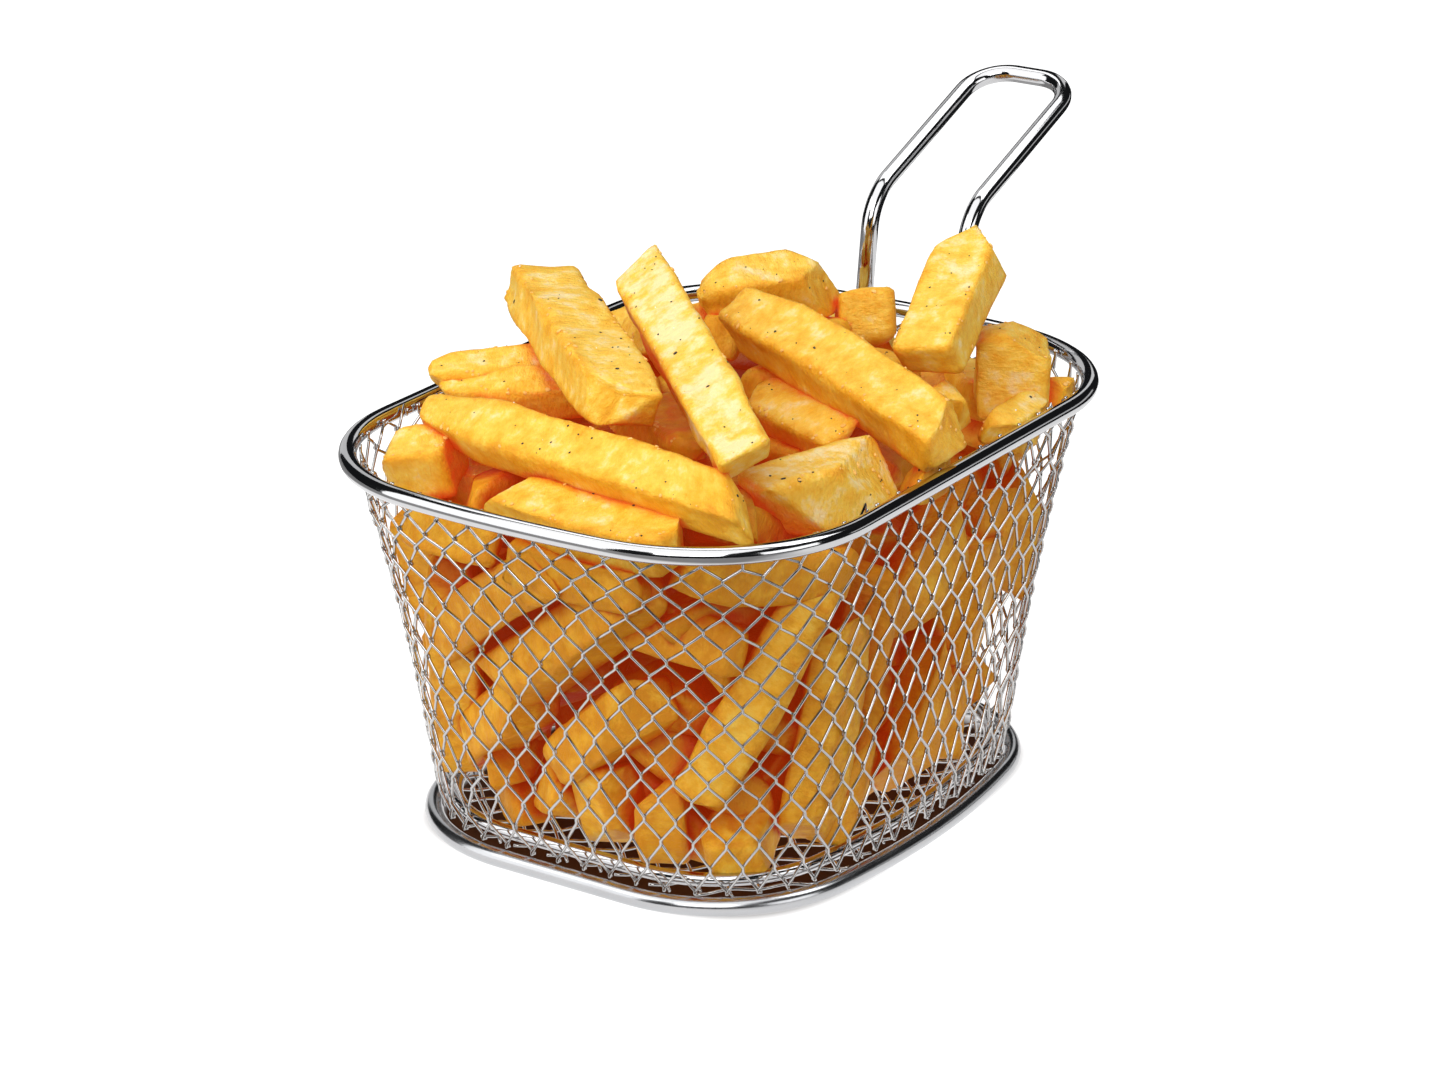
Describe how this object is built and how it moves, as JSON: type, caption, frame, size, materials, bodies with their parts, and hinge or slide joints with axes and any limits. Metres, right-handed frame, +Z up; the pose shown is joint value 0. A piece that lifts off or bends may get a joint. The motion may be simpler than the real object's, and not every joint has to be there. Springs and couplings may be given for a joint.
{
  "type": "portion of french fries in a wire basket",
  "caption": "Heap of thick-cut french fries in a small tapered wire mesh basket with one bent wire loop handle, standing on a wire foot ring.",
  "frame": {"origin": "bottom centre of the bounding box of the whole, handle included, on the plane that the foot ring stands on", "axes": "+Y along the basket's length towards the handle, +X across it, +Z up"},
  "size_m": [0.0926, 0.1598, 0.1008],
  "materials": {
    "rim_wire": "polished stainless steel wire",
    "base_wire": "polished stainless steel wire",
    "floor_wire": "polished stainless steel wire",
    "handle_wire": "polished stainless steel wire",
    "wall_mesh": "polished woven stainless steel wire",
    "floor_mesh": "polished woven stainless steel wire",
    "fries": "crisp fried potato with pepper and salt"
  },
  "bodies": {
    "root": {"rim": "rim_wire", "base_ring": "base_wire", "floor_ring": "floor_wire", "handle": "handle_wire", "mesh_wall": "wall_mesh", "mesh_floor": "floor_mesh", "fries": "fries"}
  },
  "joints": []
}
